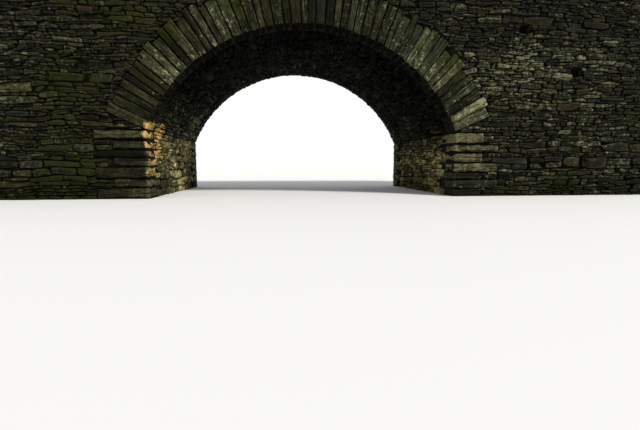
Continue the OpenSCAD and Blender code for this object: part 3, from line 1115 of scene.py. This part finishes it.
class BuildAbutments(bpy.types.Operator):
    """Small random rubble of the abutments under the arch, between their corner stones"""
    bl_idname = "bridge.abutments"
    bl_label = "Abutments"

    def execute(self, context):
        sizes = context.scene.stonework
        # The abutments' slate is painted several times lighter than the walls', as painted light in the shade
        # under the arch
        paint = slate("abutment_slate", (3.6, 3.12, 2.08), lichen=0.6, algae=0.32)
        for way, side, other in ((1, "left", "right"), (-1, "right", "left")):

            def in_returns(u, v, ends=(side, other)):
                """Depth inside the returns of the corner stones at both ends."""
                near, far = (quoin_at(end, v, 2) for end in ends)
                return np.maximum(-FACE_Y - near - u, u + FACE_Y - far)

            def tone_and_painted_light_at(u, v, way=way):
                """Painted light and shade: paler up the wall and to the back on the left, and low down and in
                front on the right.
                """
                if way > 0:
                    return 0.2 * smooth_step(0.5, 1.3, v) + 0.3 * smooth_step(0.8, 2.6, u) - 0.1
                return 0.2 * smooth_step(1.3, 0.5, v) + 0.2 * smooth_step(2.4, 3.6, u) + 0.02

            stones = rubble((-2 * FACE_Y, SPRINGING), ABUTMENT, across_bridge(way, -HALF_SPAN),
                            sizes.seed * 100 + 30 + way, wander=1.3, depth=in_returns, tone_and_painted_light_at=tone_and_painted_light_at,
                            algae_at=lambda x, z: 0.2 * (1 - z))
            points = stones["points"]
            # Painted shade under the arch, fading down the wall: to nothing at the left's foot, and to 0.4 at
            # the right's
            below = smooth_step(-0.6, 0.1, points[..., 2] - SPRINGING)
            lowest = 0.0 if way > 0 else 0.4
            stones["painted_shade"] = painted_shade_under_arch(points) * (lowest + (1 - lowest) * below)
            stones["crust"] = ochre_crust(points)
            keep_stones(f"{side}_abutment_stones", stones, "abutment_rubble", paint)
            keep_core(f"{side}_abutment", "abutment_rubble", set_back(1, FACE_Y, sizes.recess),
                      set_back(1, -FACE_Y, -sizes.recess), set_back(0, -way * HALF_SPAN, -way * sizes.recess))
        return {"FINISHED"}


class BuildBarrel(bpy.types.Operator):
    """Thin slates on edge under the arch"""
    bl_idname = "bridge.barrel"
    bl_label = "Barrel"

    def execute(self, context):
        sizes = context.scene.stonework
        # The barrel's slate is painted lighter than the walls', as painted light under the arch, before the
        # painted shade
        paint = slate("barrel_slate", (1.6, 1.54, 1.38), lichen=0.75, algae=0.15, gloss=0.02, streaks=1.0,
                      rusty=0.15, grit=2.6)
        arc = SOFFIT_R * (math.pi - 2 * SPRING_ANGLE)

        def place(u, v, w):
            """Bends the wall round the soffit: v runs along its circle, and w towards its centre."""
            angle = SPRING_ANGLE + v / SOFFIT_R
            radius = SOFFIT_R - w
            return np.stack([radius * np.cos(angle), -(u + INNER_Y), CENTRE_Z + radius * np.sin(angle)], -1)

        stones = rubble((-2 * INNER_Y, arc), BARREL, place, sizes.seed * 100 + 40)
        # Painted shade under the arch
        stones["painted_shade"] = painted_shade_under_arch(stones["points"])
        stones["crust"] = ochre_crust(stones["points"])
        keep_stones("barrel_stones", stones, "barrel_slate", paint)
        for part in ("left_haunch", "crown", "right_haunch"):
            keep_core(f"barrel_{part}", "barrel_slate", set_back_soffit(sizes.recess))
        return {"FINISHED"}


class BuildEnds(bpy.types.Operator):
    """Plain rubble closing both ends under the road"""
    bl_idname = "bridge.ends"
    bl_label = "Ends"

    def execute(self, context):
        sizes = context.scene.stonework
        paint = bpy.data.materials["wall_slate"]
        top = float(road_z(HALF_LENGTH)) + PARAPET_H

        def over_road(u, v):
            """Depth inside the road and the space over it."""
            return np.minimum(-INNER_Y - np.abs(u + FACE_Y), v - ROAD_END_Z)

        for side, way in reversed(SIDES):
            stones = rubble((-2 * FACE_Y, top), END, across_bridge(way, HALF_LENGTH),
                            sizes.seed * 100 + 45 + way, face=(-1.8, -0.9), depth=over_road,
                            algae_at=lambda x, z: 0.15 * smooth_step(1.0, 0.0, z))
            keep_stones(f"{side}_end_stones", stones, "wall_rubble", paint)
            keep_core(f"{side}_approach_fill", "rubble_core",
                      set_back(0, way * HALF_LENGTH, -way * sizes.recess))
        return {"FINISHED"}


class FinishRoad(bpy.types.Operator):
    """Broken stone on the road, and earth on the fill under it"""
    bl_idname = "bridge.road"
    bl_label = "Road"

    def execute(self, context):
        for node in ("roadway", "left_haunch_fill", "right_haunch_fill"):
            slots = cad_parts[node].data.materials
            slots.clear()
            slots.append(broken_stone() if node == "roadway" else joint_earth())
        return {"FINISHED"}


# Stage

# Half the side of the floor, and how far it lies under the bridge, in metres
FLOOR_REACH = 80.0
FLOOR_DROP = 0.002

# Width of the picture, in pixels
PICTURE = 640


class SetStage(bpy.types.Operator):
    """Pale floor, soft light, and the camera at the photograph's angle"""
    bl_idname = "bridge.stage"
    bl_label = "Stage"

    def execute(self, context):
        self.floor()
        self.world(context.scene)
        self.lamp(context.scene)
        self.camera(context.scene)
        return {"FINISHED"}

    def floor(self):
        """A pale square just under the bridge."""
        points = np.column_stack([FLOOR_REACH * (2 * SQUARE - 1), np.full(4, -FLOOR_DROP)])
        floor = mesh_object("floor", points, np.array([[0, 1, 2, 3]]), NO_FACES)
        paint = Finish("floor_paint")
        shader = paint.tree.nodes["Principled BSDF"]
        paint.fill(shader, {"Base Color": (0.8, 0.8, 0.79, 1.0), "Roughness": 0.9})
        floor.data.materials.append(paint.owner)

    def world(self, scene):
        """Soft light from the whole sky, which is plain white to the camera and in reflections."""
        sky = Nodes(bpy.data.worlds.new("studio"))
        scene.world = sky.owner
        light = sky.fill(sky.tree.nodes["Background"], {"Color": (0.95, 0.97, 1.0, 1.0), "Strength": 0.56})
        white = sky.add("ShaderNodeBackground", None, {"Color": (1.0, 1.0, 1.0, 1.0), "Strength": 1.0})
        rays = sky.add("ShaderNodeLightPath").outputs
        seen = Wave(sky, rays["Is Camera Ray"])
        for kind in ("Is Glossy Ray", "Is Transmission Ray"):
            seen = seen.maths("MAXIMUM", seen, rays[kind])
        mix = sky.add("ShaderNodeMixShader", None, {
            "Fac": seen, "Shader": light.outputs[0], "Shader_001": white.outputs[0]})
        sky.fill(sky.tree.nodes["World Output"], {"Surface": mix.outputs[0]})

    def lamp(self, scene):
        """One broad sun from the front, the right and above."""
        sun = bpy.data.lights.new("key", "SUN")
        sun.energy = 3.3
        sun.angle = math.radians(9)
        sun.color = (1.0, 0.97, 0.92)
        lamp = bpy.data.objects.new("key", sun)
        lamp.rotation_euler = Vector((-0.58, 0.62, -0.75)).to_track_quat("-Z", "Y").to_euler()
        scene.collection.objects.link(lamp)

    def camera(self, scene):
        """The camera of the view settings, tilted up from straight down and then turned to the side."""
        view = scene.bridge_view
        camera = bpy.data.objects.new("camera", bpy.data.cameras.new("camera"))
        camera.data.sensor_width = 36.0
        camera.data.lens = view.focal_px / PICTURE * camera.data.sensor_width
        camera.data.clip_end = 200.0
        turn = Matrix.Rotation(-view.yaw, 4, "Z") @ Matrix.Rotation(math.pi / 2 + view.pitch, 4, "X")
        camera.matrix_world = Matrix.Translation(view.place) @ turn
        scene.collection.objects.link(camera)
        scene.camera = camera
        scene.view_settings.view_transform = "Standard"


class BridgePanel(bpy.types.Panel):
    """Lists the bridge's settings and the steps that build it"""
    bl_idname = "VIEW3D_PT_bridge"
    bl_label = "Bridge"
    bl_space_type = "VIEW_3D"
    bl_region_type = "UI"
    bl_category = "Bridge"

    def draw(self, context):
        for name, kind in GROUPS.items():
            for key in kind.__annotations__:
                self.layout.prop(getattr(context.scene, name), key)
        for step in STEPS:
            self.layout.operator(step.bl_idname)


GROUPS = {"stonework": StoneworkSizes, "stone_colours": StoneColours, "bridge_view": ViewSettings}
STEPS = (BuildArchRing, BuildCornerStones, BuildCoping, BuildFaceWalls, BuildParapetBacks, BuildAbutments,
         BuildBarrel, BuildEnds, FinishRoad, SetStage)
CLASSES = (*GROUPS.values(), *STEPS, BridgePanel)


def register():
    """Adds the settings, the steps and the panel to Blender."""
    for kind in CLASSES:
        bpy.utils.register_class(kind)
    for name, kind in GROUPS.items():
        setattr(bpy.types.Scene, name, PointerProperty(type=kind))


def unregister():
    """Takes the settings, the steps and the panel out again."""
    for name in GROUPS:
        delattr(bpy.types.Scene, name)
    for kind in reversed(CLASSES):
        bpy.utils.unregister_class(kind)


def main():
    """Runs every step in turn."""
    register()
    for step in STEPS:
        group, name = step.bl_idname.split(".")
        getattr(getattr(bpy.ops, group), name)()


if __name__ == "__main__":
    main()
